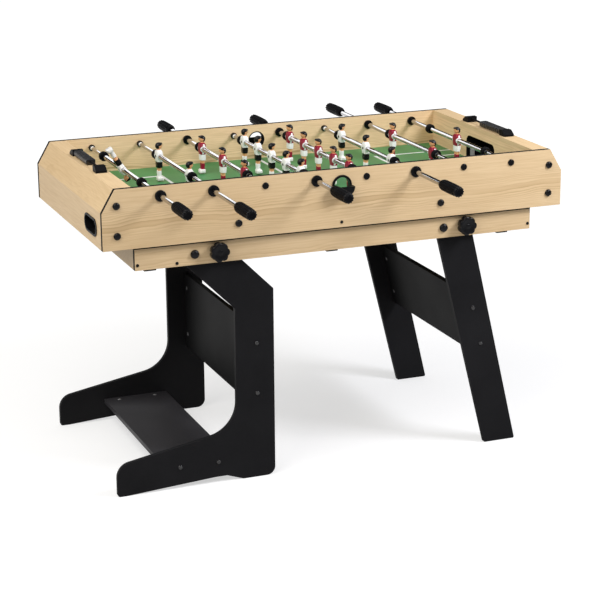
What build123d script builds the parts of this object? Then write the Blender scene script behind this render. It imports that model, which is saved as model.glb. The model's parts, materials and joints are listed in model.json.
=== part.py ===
from build123d import *
import os
from math import cos, radians, sin, sqrt, tan

# Fold-up foosball table. Millimetres, +Z up, origin on the floor under the middle of the table.
# X runs along the table, the front long side faces -Y.

# Cabinet
table_length = 1210.0
table_width = 610.0
rim_height = 775.0
panel_height = 146.5
panel_thick = 12.0
corner_cut_x = 33.0
corner_cut_z = 56.0
end_thick = 12.0
end_bay = 76.0
field_drop = 92.0
field_thick = 9.0
tray_thick = 12.0
block_depth = 25.0

# Goal in each inner end wall, and the tray behind it
goal_width = 165.0
goal_height = 62.0
goal_corner = 18.0
closing_board = 12.0

# Under-frame
apron_gap = 4.0
apron_drop = 58.0
apron_thick = 12.0
pad_length = 30.0
pad_width = 9.0
pad_height = 4.0
pad_pitch = 467.0
pad_shift = -20.0

# Rods, from left to right: whose rod, which side the grip is on, how far it is slid along Y in the photo,
# and how far its grip sits from the panel before that
rod_roles = ("keeper", "defence", "attack", "midfield", "midfield", "attack", "defence", "keeper")
rod_grips = ("front", "front", "back", "front", "back", "front", "back", "back")
rod_slid = (10.0, 0.0, 4.0, 2.0, 8.0, 4.0, 0.0, 3.0)
grip_gaps = (122.0, 170.0, 117.0, 109.0, 88.0, 153.0, 174.0, 125.0)
rod_end_gap = 68.0
rod_drop = 24.7
men_count = {"keeper": 1, "defence": 2, "attack": 3, "midfield": 5}
man_spacing = {"keeper": 0.0, "defence": 250.0, "attack": 163.0, "midfield": 102.0}
keeper_bumper = 166.0
keeper_turn = 150.0
tube_dia = 12.7
tube_wall = 1.2
core_length = 430.0
core_collar_dia = 15.0
core_collar_length = 4.0

# Men
man_reach = 65.0
boot_depth = 17.0
boot_forward = 2.0
boot_width = 20.0
boot_height = 10.0
ankle_width = 15.0
ankle_depth = 10.0
knee_drop = 34.0
knee_width = 18.0
knee_depth = 12.0
waist_drop = 13.0
waist_width = 22.0
waist_depth = 15.0
chest_rise = 4.0
chest_width = 26.0
chest_depth = 18.0
shoulder_rise = 13.0
shoulder_depth = 15.0
neck_rise = 18.0
neck_size = 9.0
head_rise = 26.0
head_dia = 18.5
man_corner = 3.0
set_screw_dia = 3.4
set_screw_proud = 0.8

# Grips and bumpers
grip_length = 96.0
grip_dia = 28.0
grip_neck_dia = 20.0
grip_end_round = 5.0
grip_flutes = 12
flute_dia = 4.4
flute_depth = 1.2
grip_cap = 12.0
bumper_length = 14.0
bumper_dia = 25.0
bumper_round = 3.0

# Rod bearings
bush_flange_dia = 28.0
bush_flange = 5.0
bush_sleeve_dia = 19.0
ring_nut_dia = 24.0
ring_nut = 5.0
end_cap_dia = 17.0
end_cap = 3.0
end_flange_dia = 17.0
end_sleeve_dia = 14.5

# Ball ports in the long panels and return cups in the end covers
port_dia = 51.0
port_hole = 46.0
port_bore = 40.0
port_drop = 41.0
port_flange = 3.0
port_lip = 24.0
port_wall = 3.0
cup_width = 106.0
cup_height = 44.0
cup_rim = 3.0
cup_wall = 2.0
cup_flange = 2.0
cup_inset = 85.0
cup_drop = 102.0
cup_depth = 18.0

# Scorers
scorer_length = 245.0
bracket_length = 30.0
bracket_width = 28.0
bracket_height = 15.0
bracket_nose = 5.0
wire_dia = 5.0
wire_rise = 8.5
wire_seat = 8.0
bead_count = 10
bead_width = 24.0
bead_height = 14.0
bead_pitch = 12.0
bead_gap = 0.3
bead_corner = 4.0
bead_round = 1.5

# L-shaped stand, outlined in the plane of its side boards and placed from its pivot
leg_thick = 12.0
pivot_drop = 32.0
stand_pivot_inset = 229.5
stand_top_rise = 15.0
stand_tip_reach = 207.0
stand_heel_reach = 204.0
post_width = 100.5
stand_elbow_drop = 110.0
stand_arm_width = 100.4
stand_toe_flat = 25.0
stand_pad_length = 63.0
stand_arch_height = 15.0
stand_arch_length = 31.0
stand_arch_ramp = 43.0
stand_foot_slope = 10.2
stand_tip_height = 79.0
stand_inner_round = 84.0
stand_tip_round = 38.0
stand_heel_round = 22.0
stand_small_round = 6.0
post_board_low = 182.0
post_board_height = 208.0
post_board_inset = 45.0
foot_board_top = 60.0
foot_board_inset = 124.0
foot_board_width = 174.0
cross_thick = 12.0

# Slanted leg on the right
leg_pivot_inset = 323.5
leg_tilt = 13.64
leg_top_width = 95.0
leg_foot_width = 86.0
leg_spread = 177.5
leg_top_rise = 38.0
leg_round = 4.0
leg_top_round = 18.0
leg_board_mid = 323.5
leg_board_height = 178.0
leg_board_shift = 6.0

# Fasteners
bolt_dia = 6.0
bolt_cap_dia = 18.0
bolt_cap = 5.0
bolt_bite = 20.0
corner_bolt_inset = 36.0
corner_bolt_drops = (40.0, 112.5)
apron_bolt_inset = 338.0
apron_bolt_drop = 110.0
middle_screw_drop = 133.4
screw_dia = 3.5
screw_head_dia = 8.0
screw_head = 1.6
left_screws = ((6.5, 13.0), (104.5, 8.0))
right_screw = (6.0, 14.0)
pivot_dia = 8.0
pivot_head_dia = 22.0
pivot_head = 7.0
pivot_nut_dia = 16.0
pivot_nut = 6.0
barrel_dia = 10.0
barrel_inset = 18.0
leg_bolt_head_dia = 12.0
leg_bolt_head = 2.0
leg_bolt_edge = 39.0
foot_bolt_edge = 37.0

# Star knobs
knob_offset = 57.0
knob_rise = 3.5
knob_lobes = 7
knob_dia = 49.0
lobe_dia = 19.0
knob_thick = 18.0
knob_hub_dia = 22.0
knob_hub = 8.0
knob_round = 3.0
knob_stud_dia = 8.0

# Fits
running = 0.05
seat_gap = 0.1
body_gap = 0.3

# Levels and faces worked out from the sizes above
panel_bottom = rim_height - panel_height
field_top = rim_height - field_drop
field_bottom = field_top - field_thick
apron_bottom = panel_bottom - apron_drop
rod_height = rim_height - rod_drop
port_height = rim_height - port_drop
cup_middle = rim_height - cup_drop
pivot_height = panel_bottom - pivot_drop
knob_height = pivot_height + knob_rise
panel_face = table_width / 2
panel_inner = panel_face - panel_thick
apron_inner = panel_inner - apron_thick
apron_end = table_length / 2 - end_bay - apron_gap
leg_face = apron_inner - body_gap
leg_inner = leg_face - leg_thick
end_face = table_length / 2
end_inner = end_face - end_thick
wall_face = end_face - end_bay
wall_back = wall_face + end_thick
tray_top = panel_bottom + tray_thick
tube_bore = tube_dia - 2 * tube_wall
core_dia = tube_bore - 2 * running
rod_count = len(rod_roles)
rod_pitch = 2 * (wall_face - rod_end_gap) / (rod_count - 1)
rod_xs = [(i - (rod_count - 1) / 2) * rod_pitch for i in range(rod_count)]
grip_sides = [1 if side == "back" else -1 for side in rod_grips]
cup_y = cup_inset - panel_inner
stand_pivot_x = stand_pivot_inset - end_face
stand_tip_x = stand_pivot_x - stand_tip_reach
stand_heel_x = stand_pivot_x + stand_heel_reach
stand_elbow_height = pivot_height - stand_elbow_drop
post_board_x = stand_heel_x - post_board_inset
foot_board_left = stand_tip_x + foot_board_inset
leg_pivot_x = end_face - leg_pivot_inset
leg_floor_x = leg_pivot_x + leg_spread


def slab(face, low_y, high_y):
    """A flat outline in X and Z, made solid between two Y planes."""
    return Pos(0, high_y, 0) * extrude(Plane.XZ * face, amount=high_y - low_y)


def outline(points, radii):
    """A closed outline with rounded corners."""
    return make_face(FilletPolyline(*points, radius=radii, close=True))


def box(x0, x1, y0, y1, z0, z1):
    return Pos((x0 + x1) / 2, (y0 + y1) / 2, (z0 + z1) / 2) * Box(x1 - x0, y1 - y0, z1 - z0)


def along_y(dia, y0, y1, x=0.0, z=0.0):
    """A round bar along Y between two Y planes."""
    return Pos(x, (y0 + y1) / 2, z) * Rot(90, 0, 0) * Cylinder(dia / 2, abs(y1 - y0))


def mirror_y(shape):
    return mirror(shape, about=Plane.XZ)


def mirror_x(shape):
    return mirror(shape, about=Plane.YZ)


def for_side(shape, side):
    """A piece drawn at the back, mirrored to the front for side -1."""
    return shape if side > 0 else mirror_y(shape)


def save(name, solids):
    """Writes one named sub-part, given as a list of solids or parts."""
    pieces = [solid for item in solids for solid in item.solids()]
    export_step(pieces[0] if len(pieces) == 1 else Compound(children=pieces), f"parts/{name}.step")


# Fastener places on a long side, as X and Z
corner_bolt_x, apron_bolt_x = end_face - corner_bolt_inset, end_face - apron_bolt_inset
corner_bolts = [(side * corner_bolt_x, rim_height - drop) for side in (-1, 1) for drop in corner_bolt_drops]
apron_bolts = [(side * apron_bolt_x, rim_height - apron_bolt_drop) for side in (-1, 1)]
middle_screw = (0.0, rim_height - middle_screw_drop)
low_screws = [(inset - apron_end, apron_bottom + rise) for inset, rise in left_screws]
low_screws.append((apron_end - right_screw[0], apron_bottom + right_screw[1]))
pivots = [(stand_pivot_x, pivot_height), (leg_pivot_x, pivot_height)]
knobs = [(stand_pivot_x + knob_offset, knob_height), (leg_pivot_x + knob_offset, knob_height)]


def holes(places, dia):
    return [Pos(x, z) * Circle(dia / 2) for x, z in places]


def panel(side):
    """A long panel with its cut corners, rod holes, ball port and bolt holes."""
    cut = end_face - corner_cut_x
    shape = make_face(
        Polyline(
            (-end_face, panel_bottom),
            (end_face, panel_bottom),
            (end_face, rim_height - corner_cut_z),
            (cut, rim_height),
            (-cut, rim_height),
            (-end_face, rim_height - corner_cut_z),
            close=True,
        )
    )
    for x, grip_side in zip(rod_xs, grip_sides):
        sleeve = bush_sleeve_dia if grip_side == side else end_sleeve_dia
        shape -= Pos(x, rod_height) * Circle(sleeve / 2 + seat_gap)
    shape -= Pos(0, port_height) * Circle(port_hole / 2)
    shape -= holes(corner_bolts + apron_bolts, bolt_dia + 2 * seat_gap)
    shape -= holes([middle_screw], screw_dia + 2 * seat_gap)
    return for_side(slab(shape, panel_inner, panel_face), side)


def cover_lines():
    """The right end cover's outer line and inner line, as X and Z points."""
    slope = sqrt(corner_cut_x**2 + corner_cut_z**2)
    side_x = end_face - end_thick
    side_z = rim_height - corner_cut_z - end_thick * (slope - corner_cut_z) / corner_cut_x
    top_z = rim_height - end_thick
    top_x = end_face - corner_cut_x - end_thick * (slope - corner_cut_x) / corner_cut_z
    outer = [(end_face, panel_bottom), (end_face, rim_height - corner_cut_z)]
    outer += [(end_face - corner_cut_x, rim_height), (wall_face, rim_height)]
    inner = [(side_x, panel_bottom), (side_x, side_z), (top_x, top_z), (wall_face, top_z)]
    return outer, inner


def bay_outline():
    """The hollow of the right end, between the inner wall, the tray and the cover."""
    corners = cover_lines()[1][1:3]
    return make_face(
        Polyline(
            (wall_back, tray_top),
            (end_inner, tray_top),
            *corners,
            (wall_back, rim_height - end_thick),
            close=True,
        )
    )


def end_cover():
    """Right end cover: upright, slope and flat top as one folded board, with the cup's slot."""
    outer, inner = cover_lines()
    shape = slab(make_face(Polyline(*outer, *reversed(inner), close=True)), -panel_inner, panel_inner)
    slot = SlotOverall(cup_width - 2 * cup_rim + 2 * seat_gap, cup_height - 2 * cup_rim + 2 * seat_gap)
    return shape - Pos(end_inner - 1, cup_y, cup_middle) * extrude(Plane.YZ * slot, amount=end_thick + 2)


def end_wall():
    """Right inner end wall with its goal mouth, open down to the field."""
    wall = box(wall_face, wall_back, -panel_inner, panel_inner, panel_bottom, rim_height - end_thick)
    half = goal_width / 2
    mouth = outline(
        [(-half, 0), (half, 0), (half, goal_height), (-half, goal_height)],
        [0, 0, goal_corner, goal_corner],
    )
    return wall - Pos(wall_face - 1, 0, field_top) * extrude(Plane.YZ * mouth, amount=end_thick + 2)


def goal_box():
    """Right ball tray and the board that closes it on the side away from the cup."""
    tray = box(wall_back, end_inner, -panel_inner, panel_inner, panel_bottom, tray_top)
    board = slab(bay_outline(), goal_width / 2, goal_width / 2 + closing_board)
    return [tray, board]


def corner_block(side):
    """A block in a corner of the right end, drilled for its two panel bolts."""
    face = bay_outline() - holes(corner_bolts, bolt_dia + 2 * seat_gap)
    return for_side(slab(face, panel_inner - block_depth, panel_inner), side)


def apron_boards():
    """Two long boards with their fastener holes, and two end boards between them."""
    middle, height = (apron_bottom + field_bottom) / 2, field_bottom - apron_bottom
    face = Pos(0, middle) * Rectangle(2 * apron_end, height)
    face -= holes(pivots, pivot_dia + 2 * seat_gap)
    face -= holes(knobs, knob_stud_dia + 2 * running)
    face -= holes(apron_bolts, bolt_dia + 2 * seat_gap)
    face -= holes(low_screws + [middle_screw], screw_dia + 2 * seat_gap)
    long_board = slab(face, apron_inner, panel_inner)
    end_board = box(apron_end - apron_thick, apron_end, -apron_inner, apron_inner, apron_bottom, field_bottom)
    return [long_board, mirror_y(long_board), end_board, mirror_x(end_board)]


def apron_pads():
    """Small pads under the long boards."""
    middle = (apron_inner + panel_inner) / 2
    pad = box(-pad_length / 2, pad_length / 2, -pad_width / 2, pad_width / 2, -pad_height, 0)
    pad = fillet(pad.edges().group_by(Axis.Z)[0], pad_height / 3)
    return [
        Pos(pad_shift + step * pad_pitch, side * middle, apron_bottom) * pad
        for step in (-1, 0, 1)
        for side in (-1, 1)
    ]


def dome_bolt(place, head_face, tip, dia, head_dia, head):
    """A bolt along Y at the back, with a domed head standing on head_face."""
    x, z = place
    cap = along_y(head_dia, head_face, head_face + head, x, z)
    cap = fillet(cap.edges().group_by(Axis.Y)[-1], head * 0.8)
    return cap + along_y(dia, tip, head_face, x, z)


def cabinet_bolts():
    """Panel bolts and small screws of both long sides."""
    bolts = [
        dome_bolt(place, panel_face, panel_inner - bolt_bite, bolt_dia, bolt_cap_dia, bolt_cap)
        for place in corner_bolts
    ]
    bolts += [
        dome_bolt(place, panel_face, apron_inner, bolt_dia, bolt_cap_dia, bolt_cap) for place in apron_bolts
    ]
    bolts.append(dome_bolt(middle_screw, panel_face, apron_inner, screw_dia, screw_head_dia, screw_head))
    bolts += [
        dome_bolt(place, panel_inner, apron_inner, screw_dia, screw_head_dia, screw_head) for place in low_screws
    ]
    return bolts + [mirror_y(bolt) for bolt in bolts]


def pivot_bolts():
    """Pivot bolts of the stand and the leg with their nuts, on both long sides."""
    nut_face = leg_inner - body_gap
    pieces = []
    for place in pivots:
        x, z = place
        tip = nut_face - pivot_nut
        pieces.append(dome_bolt(place, panel_inner, tip, pivot_dia, pivot_head_dia, pivot_head))
        nut = along_y(pivot_nut_dia, tip, nut_face, x, z)
        pieces.append(nut - along_y(pivot_dia + 2 * running, tip - 1, nut_face + 1, x, z))
    return pieces + [mirror_y(piece) for piece in pieces]


def rod_bearings():
    """Flanged bush with its ring nut on each grip side, end bearing on each far side."""
    pieces = []
    for x, grip_side in zip(rod_xs, grip_sides):
        bush = along_y(bush_flange_dia, panel_face, panel_face + bush_flange, x, rod_height)
        bush = fillet(bush.edges().group_by(Axis.Y)[-1], bush_flange / 3)
        bush += along_y(bush_sleeve_dia, panel_inner - ring_nut, panel_face, x, rod_height)
        through = along_y(tube_dia + 2 * running, 0, 2 * panel_face, x, rod_height)
        nut = along_y(ring_nut_dia, panel_inner - ring_nut, panel_inner, x, rod_height)
        nut -= along_y(bush_sleeve_dia + 2 * seat_gap, 0, 2 * panel_face, x, rod_height)
        cap = along_y(end_cap_dia, panel_face, panel_face + end_cap, x, rod_height)
        cap = fillet(cap.edges().group_by(Axis.Y)[-1], end_cap * 0.8)
        end = cap + along_y(end_sleeve_dia, panel_inner, panel_face, x, rod_height)
        end += along_y(end_flange_dia, panel_inner - ring_nut, panel_inner, x, rod_height)
        end -= along_y(core_dia + 2 * running, 0, panel_face, x, rod_height)
        pieces += [for_side(bush - through, grip_side), for_side(nut, grip_side), for_side(end, -grip_side)]
    return pieces


def ball_ports():
    """Entry ring through each long panel, with a closed half cup outside its lower half."""
    ring = along_y(port_dia, panel_face, panel_face + port_flange, 0, port_height)
    ring += along_y(port_hole - 2 * seat_gap, panel_inner, panel_face, 0, port_height)
    lip = along_y(port_dia, panel_face + port_flange, panel_face + port_lip, 0, port_height)
    low = box(-port_dia, port_dia, 0, 2 * panel_face, port_height - port_dia, port_height)
    port = ring + (lip & low) - along_y(port_bore, 0, panel_face + port_lip - port_wall, 0, port_height)
    return [port, mirror_y(port)]


def ball_cup():
    """Right return cup: oval rim outside the end cover and a sleeve through it."""
    rim = SlotOverall(cup_width, cup_height)
    sleeve = SlotOverall(cup_width - 2 * cup_rim, cup_height - 2 * cup_rim)
    inset = cup_rim + cup_wall
    bore = SlotOverall(cup_width - 2 * inset, cup_height - 2 * inset)
    cup = extrude(Plane.YZ * rim, amount=cup_flange)
    cup += Pos(-cup_depth, 0, 0) * extrude(Plane.YZ * sleeve, amount=cup_depth)
    cup -= Pos(-cup_depth - 1, 0, 0) * extrude(Plane.YZ * bore, amount=cup_depth + cup_flange + 2)
    return Pos(end_face, cup_y, cup_middle) * cup


# Scorer: the wire runs along Y in the middle of the flat top
scorer_x = (wall_face + end_face - corner_cut_x) / 2
wire_height = rim_height + wire_rise
wire_span = scorer_length - 2 * bracket_length
bead_travel = wire_span - bead_count * bead_pitch - bead_gap


def score_frame():
    """Right scorer frame: a wedge bracket at each end and the wire between them."""
    half = scorer_length / 2
    wedge = Polyline(
        (half, 0),
        (half, bracket_nose),
        (half - bracket_length / 2, bracket_height),
        (half - bracket_length, bracket_height),
        (half - bracket_length, 0),
        close=True,
    )
    bracket = extrude(Plane.YZ * make_face(wedge), amount=bracket_width / 2, both=True)
    bracket = Pos(scorer_x, 0, rim_height) * bracket
    seat = wire_span / 2 + wire_seat
    bracket -= along_y(wire_dia + 2 * running, 0, seat, scorer_x, wire_height)
    return [bracket, mirror_y(bracket), along_y(wire_dia, -seat, seat, scorer_x, wire_height)]


def score_beads(end):
    """The stack of beads, pushed to the back on the left scorer and to the front on the right."""
    length = bead_pitch - bead_gap
    bead = extrude(RectangleRounded(bead_width, bead_height, bead_corner), amount=length / 2, both=True)
    ends = bead.edges().group_by(Axis.Z)
    bead = fillet(ends[0] + ends[-1], bead_round)
    bead -= Cylinder(wire_dia / 2 + running, 2 * bead_pitch)
    first = wire_span / 2 - bead_pitch / 2 - bead_gap / 2
    return [
        Pos(end * scorer_x, -end * (first - i * bead_pitch), wire_height) * Rot(90, 0, 0) * bead
        for i in range(bead_count)
    ]


def man():
    """One player facing +X on a rod along Y through the origin, made from stacked sections."""
    toe = boot_depth / 2 + boot_forward
    sole = -sqrt(man_reach**2 - toe**2)
    heights = [
        (sole, boot_width, boot_depth, boot_forward),
        (sole + boot_height, boot_width, boot_depth - boot_forward, boot_forward / 2),
        (sole + 1.7 * boot_height, ankle_width, ankle_depth, 0),
        (-knee_drop, knee_width, knee_depth, 0),
        (-waist_drop, waist_width, waist_depth, 0),
        (chest_rise, chest_width, chest_depth, 0),
        (shoulder_rise, chest_width, shoulder_depth, 0),
        (neck_rise, neck_size, neck_size, 0),
        (head_rise, neck_size, neck_size, 0),
    ]
    sections = [
        Pos(shift, 0, z) * RectangleRounded(depth, width, man_corner) for z, width, depth, shift in heights
    ]
    figure = loft(sections, ruled=True) + Pos(0, 0, head_rise) * Sphere(head_dia / 2)
    figure -= along_y(tube_dia + 2 * running, -chest_width, chest_width)
    return figure - Pos(-chest_depth / 2, 0, 0) * Rot(0, 90, 0) * Cylinder(
        set_screw_dia / 2 + running, chest_depth
    )


def set_screw():
    """Screw from a man's back to the tube."""
    start = tube_dia / 2 + running
    end = chest_depth / 2 + set_screw_proud
    return Pos(-(start + end) / 2, 0, 0) * Rot(0, 90, 0) * Cylinder(set_screw_dia / 2, end - start)


def grip():
    """Ribbed grip along +Z, open at its lower end for the tube."""
    r, neck = grip_dia / 2, grip_neck_dia / 2
    profile = make_face(
        FilletPolyline(
            (0, 0),
            (neck, 0),
            (r - flute_depth / 2, grip_length * 0.12),
            (r, grip_length / 2),
            (r - flute_depth / 2, grip_length),
            (0, grip_length),
            radius=[0, 2, grip_end_round, grip_length, grip_end_round, 0],
            close=True,
        )
    )
    body = revolve(Plane.XZ * profile, Axis.Z)
    reach = r - flute_depth + flute_dia / 2
    flute = Pos(reach, 0, grip_length * 0.65) * Cylinder(flute_dia / 2, grip_length)
    body -= [Rot(0, 0, 360 / grip_flutes * i) * flute for i in range(grip_flutes)]
    return body - Pos(0, 0, (grip_length - grip_cap) / 2) * Cylinder(
        tube_dia / 2 + running, grip_length - grip_cap
    )


def bumper():
    """Rubber ring along Y, centred on the origin."""
    ring = along_y(bumper_dia, -bumper_length / 2, bumper_length / 2)
    ring = fillet(ring.edges().filter_by(GeomType.CIRCLE), bumper_round)
    return ring - along_y(tube_dia + 2 * running, -bumper_length, bumper_length)


def rod_places(role):
    """Men's places along a rod of this role, and how far out its bumpers sit."""
    men = men_count[role]
    places = [(i - (men - 1) / 2) * man_spacing[role] for i in range(men)]
    beside = places[-1] + chest_width / 2 + seat_gap + bumper_length / 2
    return places, (keeper_bumper if men == 1 else beside)


def rod_range(index):
    """How far a rod slides towards -Y and +Y before a bumper meets the bush or the inner rod's collar."""
    bumper_end = rod_places(rod_roles[index])[1] + bumper_length / 2
    out = panel_inner - ring_nut - bumper_end - body_gap
    back = out - core_collar_length - body_gap
    low, high = (back, out) if grip_sides[index] > 0 else (out, back)
    return -low - rod_slid[index], high - rod_slid[index]


def rod(index, figure, screw):
    """All the pieces of one telescopic rod, as a dictionary of node names and solids."""
    role, side, slid = rod_roles[index], grip_sides[index], rod_slid[index]
    places, beside = rod_places(role)
    name = f"rod_{index + 1}"
    here = Pos(rod_xs[index], 0, rod_height)
    moved = here * Pos(0, slid, 0)
    turn = Rot(0, keeper_turn if index == 0 else 0, 0) * Rot(0, 0, 90 + 90 * side)
    grip_start = panel_face + grip_gaps[index]
    tube_end = grip_start + grip_length - grip_cap
    tube_start = -beside - bumper_length / 2
    tube = along_y(tube_dia, side * tube_start, side * tube_end)
    tube -= along_y(tube_bore, side * (tube_start - 1), side * (tube_end + 1))
    far = panel_face - body_gap
    core = along_y(core_dia, -side * far, -side * (panel_inner - core_length))
    collar = panel_inner - ring_nut - body_gap
    core += along_y(core_collar_dia, -side * collar, -side * (collar - core_collar_length))
    grip_turn = Pos(0, side * grip_start, 0) * Rot(-90 * side, 0, 0)
    return {
        f"{name}_inner_rod": [here * core],
        f"{name}_tube_and_screws": [moved * tube] + [moved * Pos(0, y, 0) * turn * screw for y in places],
        f"{name}_men": [moved * Pos(0, y, 0) * turn * figure for y in places],
        f"{name}_grip_and_bumpers": [moved * grip_turn * grip_solid]
        + [moved * Pos(0, end * beside, 0) * bumper_solid for end in (-1, 1)],
    }


def knob(place, side):
    """Star knob with its stud, which passes the apron and stops at the leg's face."""
    x, z = place
    lobe_reach = (knob_dia - lobe_dia) / 2
    star = Circle(lobe_reach)
    star += [
        Rot(0, 0, 360 / knob_lobes * i) * Pos(lobe_reach, 0) * Circle(lobe_dia / 2) for i in range(knob_lobes)
    ]
    head = extrude(star, amount=knob_thick)
    head = fillet(head.edges().group_by(Axis.Z)[-1], knob_round)
    head += Pos(0, 0, -knob_hub / 2) * Cylinder(knob_hub_dia / 2, knob_hub)
    stud = apron_thick + body_gap
    head += Pos(0, 0, -knob_hub - stud / 2) * Cylinder(knob_stud_dia / 2, stud)
    base = panel_inner + body_gap + knob_hub
    return for_side(Pos(x, base, z) * Rot(-90, 0, 0) * head, side)


def stand_outline():
    """Outline of a stand side board in X and Z, from the toe round by the floor."""
    heel, tip = stand_heel_x, stand_tip_x
    post = heel - post_width
    rise = tan(radians(stand_foot_slope))
    top = pivot_height + stand_top_rise
    outer_sum = heel + stand_elbow_height
    inner_sum = outer_sum - stand_arm_width * sqrt(2)
    pad_right = heel
    pad_left = heel - stand_heel_round - stand_pad_length
    arch_right = pad_left - stand_arch_ramp
    left_edge_z = pivot_height - stand_top_rise
    points = [
        (tip, 0),
        (tip + stand_toe_flat, 0),
        (arch_right - stand_arch_length, stand_arch_height),
        (arch_right, stand_arch_height),
        (pad_left, 0),
        (pad_right, 0),
        (heel, stand_elbow_height),
        (outer_sum - top, top),
        (inner_sum - left_edge_z + stand_top_rise, top),
        (inner_sum - left_edge_z, left_edge_z),
        (post, inner_sum - post),
        (post, stand_tip_height + (post - tip) * rise),
        (tip, stand_tip_height),
    ]
    small = stand_small_round
    radii = [small, small, small, small, small, stand_heel_round, small, small, small, small]
    radii += [small, stand_inner_round, stand_tip_round]
    return outline(points, radii)


# Bolt places on the stand's and the leg's outer faces, as X and Z
post_bolts = [
    (post_board_x, z)
    for z in (post_board_low + leg_bolt_edge, post_board_low + post_board_height - leg_bolt_edge)
]
foot_board_right = foot_board_left + foot_board_width
foot_bolts = [
    (x, foot_board_top - cross_thick / 2)
    for x in (foot_board_left + foot_bolt_edge, foot_board_right - foot_bolt_edge)
]
leg_mid_x = leg_floor_x + leg_board_shift - leg_board_mid * tan(radians(leg_tilt))
bolt_arm = leg_board_height / 2 - leg_bolt_edge
leg_bolts = [
    (leg_mid_x + end * bolt_arm * sin(radians(leg_tilt)), leg_board_mid - end * bolt_arm * cos(radians(leg_tilt)))
    for end in (-1, 1)
]


def drilled_pair(face, bolt_places, pivot):
    """Front and back side boards of one outline, with bolt holes and the pivot hole."""
    face = face - holes(bolt_places, bolt_dia + 2 * seat_gap) - holes([pivot], pivot_dia + 2 * running)
    board = slab(face, leg_inner, leg_face)
    return [board, mirror_y(board)]


def cross_board(face, bolt_places, nut_axis):
    """A board between the side boards, drilled for its bolts and barrel nuts."""
    board = slab(face, -leg_inner, leg_inner)
    for x, z in bolt_places:
        for side in (-1, 1):
            hole = along_y(bolt_dia + 2 * seat_gap, leg_inner - 2 * barrel_inset, leg_inner + 1, x, z)
            board -= for_side(hole, side)
            seat = Cylinder(barrel_dia / 2 + seat_gap, 3 * cross_thick)
            board -= Pos(x, side * (leg_inner - barrel_inset), z) * nut_axis * seat
    return board


def frame_bolts(bolt_places, nut_axis):
    """Bolts through the side boards and the barrel nuts that they screw into."""
    pieces = []
    for x, z in bolt_places:
        tip = leg_inner - barrel_inset - barrel_dia / 2
        pieces.append(dome_bolt((x, z), leg_face, tip, bolt_dia, leg_bolt_head_dia, leg_bolt_head))
        nut = Pos(x, leg_inner - barrel_inset, z) * nut_axis * Cylinder(barrel_dia / 2, cross_thick)
        pieces.append(nut - along_y(bolt_dia + 2 * running, 0, leg_face, x, z))
    return pieces + [mirror_y(piece) for piece in pieces]


def leg_outline():
    """Outline of a slanted, tapered side board in X and Z, cut level at the floor and at the top."""
    foot, head = (width / 2 / cos(radians(leg_tilt)) for width in (leg_foot_width, leg_top_width))
    top = pivot_height + leg_top_rise
    top_x = leg_floor_x - top * tan(radians(leg_tilt))
    points = [(leg_floor_x - foot, 0), (leg_floor_x + foot, 0), (top_x + head, top), (top_x - head, top)]
    return outline(points, [leg_round, leg_round, leg_top_round, leg_top_round])


os.makedirs("parts", exist_ok=True)

# Cabinet
save("front_panel", [panel(-1)])
save("back_panel", [panel(1)])
save("end_covers", [end_cover(), mirror_x(end_cover())])
save("end_walls", [end_wall(), mirror_x(end_wall())])
playfield = box(-wall_face, wall_face, -panel_inner, panel_inner, field_bottom, field_top)
save("playfield", [playfield])
save("goal_boxes", goal_box() + [mirror_x(piece) for piece in goal_box()])
blocks = [corner_block(side) for side in (-1, 1)]
save("corner_blocks", blocks + [mirror_x(block) for block in blocks])
save("apron_boards", apron_boards())
save("apron_pads", apron_pads())
save("ball_ports", ball_ports())
save("ball_cups", [ball_cup(), mirror_x(ball_cup())])
save("rod_bearings", rod_bearings())
save("cabinet_bolts", cabinet_bolts())
save("pivot_bolts", pivot_bolts())
save("score_frames", score_frame() + [mirror_x(piece) for piece in score_frame()])
save("score_beads_left", score_beads(-1))
save("score_beads_right", score_beads(1))

# Rods
figure_solid, screw_solid = man(), set_screw()
grip_solid, bumper_solid = grip(), bumper()
for rod_index in range(rod_count):
    for node, solids in rod(rod_index, figure_solid, screw_solid).items():
        save(node, solids)

# Knobs
for place, where in zip(knobs, ("stand", "leg")):
    save(f"{where}_knob_front", [knob(place, -1)])
    save(f"{where}_knob_back", [knob(place, 1)])

# Stand
across_x, upright = Rot(0, 90, 0), Rot(0, 0, 0)
post_middle = post_board_low + post_board_height / 2
post_face = Pos(post_board_x, post_middle) * Rectangle(cross_thick, post_board_height)
foot_middle = foot_board_left + foot_board_width / 2
foot_face = Pos(foot_middle, foot_board_top - cross_thick / 2) * Rectangle(foot_board_width, cross_thick)
save("stand_sides", drilled_pair(stand_outline(), post_bolts + foot_bolts, pivots[0]))
save("stand_post_board", [cross_board(post_face, post_bolts, across_x)])
save("stand_foot_board", [cross_board(foot_face, foot_bolts, upright)])
save("stand_bolts", frame_bolts(post_bolts, across_x) + frame_bolts(foot_bolts, upright))

# Leg
across_leg = Rot(0, 90 - leg_tilt, 0)
leg_face_outline = Pos(leg_mid_x, leg_board_mid) * Rot(0, 0, leg_tilt) * Rectangle(cross_thick, leg_board_height)
save("leg_sides", drilled_pair(leg_outline(), leg_bolts, pivots[1]))
save("leg_cross_board", [cross_board(leg_face_outline, leg_bolts, across_leg)])
save("leg_bolts", frame_bolts(leg_bolts, across_leg))
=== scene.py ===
import json
import math

import bpy
from mathutils import Matrix, Vector


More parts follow.
